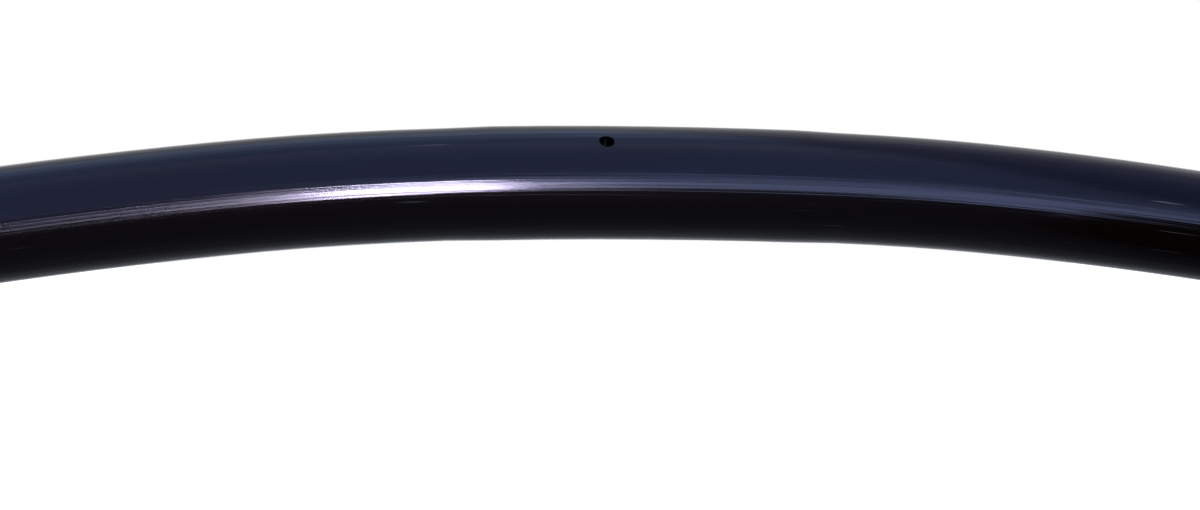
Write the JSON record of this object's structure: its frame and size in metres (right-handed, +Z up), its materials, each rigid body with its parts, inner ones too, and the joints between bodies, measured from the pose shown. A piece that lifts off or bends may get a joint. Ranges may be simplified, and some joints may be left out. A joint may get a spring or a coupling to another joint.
{
  "type": "soaker hose",
  "caption": "Dripper soaker hose: smooth black pipe with an in-line emitter and outlet, a swivel tap connector, a tied hank and a flush cap.",
  "frame": {"origin": "middle of the overall footprint, on the surface that the hose lies on", "axes": "+X from the tap connector to the flush cap, +Y away from the hank's open side, +Z up"},
  "size_m": [1.1475, 0.1528, 0.0848],
  "materials": {
    "pipe": "gloss",
    "fitting": "satin",
    "grip": "satin",
    "emitter": "satin",
    "restrictor": "satin",
    "rubber": "matte",
    "screen": "woven",
    "tie": "satin"
  },
  "bodies": {
    "hose_body": {"hose": "pipe", "hose_coil": "pipe", "hose_end": "pipe", "emitter_body": "emitter", "emitter_diaphragm": "rubber", "emitter_cover": "emitter", "inlet_washer": "rubber", "filter_screen": "screen", "flow_restrictor": "restrictor", "inlet_tail": "fitting", "end_body": "fitting", "tie_near": "tie", "tie_far": "tie", "tie_fold": "tie"},
    "tap_nut": {"swivel_nut": "fitting"},
    "inlet_ring": {"inlet_grip_ring": "grip"},
    "inlet_nut": {"inlet_lock_nut": "fitting"},
    "end_ring": {"end_grip_ring": "grip"},
    "end_nut": {"end_lock_nut": "fitting"},
    "seal": {"cap_seal": "rubber"},
    "cap": {"flush_cap": "fitting"}
  },
  "joints": [
    {"name": "tap_nut_spin", "type": "hinge", "parent": "hose_body", "child": "tap_nut", "pos_m": [-0.568, 0.0294, 0.0176], "axis": [1, 0, 0], "continuous": true},
    {"name": "inlet_ring_slide", "type": "slide", "parent": "hose_body", "child": "inlet_ring", "axis": [1, 0, 0], "range_m": [0, 0.006]},
    {"name": "inlet_nut_turn", "type": "hinge", "parent": "inlet_ring", "child": "inlet_nut", "pos_m": [-0.5335, 0.0294, 0.0176], "axis": [1, 0, 0], "range_deg": [0, 1080]},
    {"name": "end_ring_slide", "type": "slide", "parent": "hose_body", "child": "end_ring", "axis": [-1, 0, 0], "range_m": [0, 0.006]},
    {"name": "end_nut_turn", "type": "hinge", "parent": "end_ring", "child": "end_nut", "pos_m": [0.5417, 0.0634, 0.0132], "axis": [-1, 0, 0], "range_deg": [0, 1080]},
    {"name": "cap_seal_slide", "type": "slide", "parent": "hose_body", "child": "seal", "axis": [1, 0, 0], "range_m": [0, 0.008]},
    {"name": "cap_turn", "type": "hinge", "parent": "seal", "child": "cap", "pos_m": [0.5664, 0.0634, 0.0132], "axis": [1, 0, 0], "range_deg": [0, 1152]}
  ],
  "couplings": [
    {"joint": "inlet_ring_slide", "follows": "inlet_nut_turn", "m_per_rad": 0.0003183},
    {"joint": "end_ring_slide", "follows": "end_nut_turn", "m_per_rad": 0.0003183},
    {"joint": "cap_seal_slide", "follows": "cap_turn", "m_per_rad": 0.00039788}
  ]
}
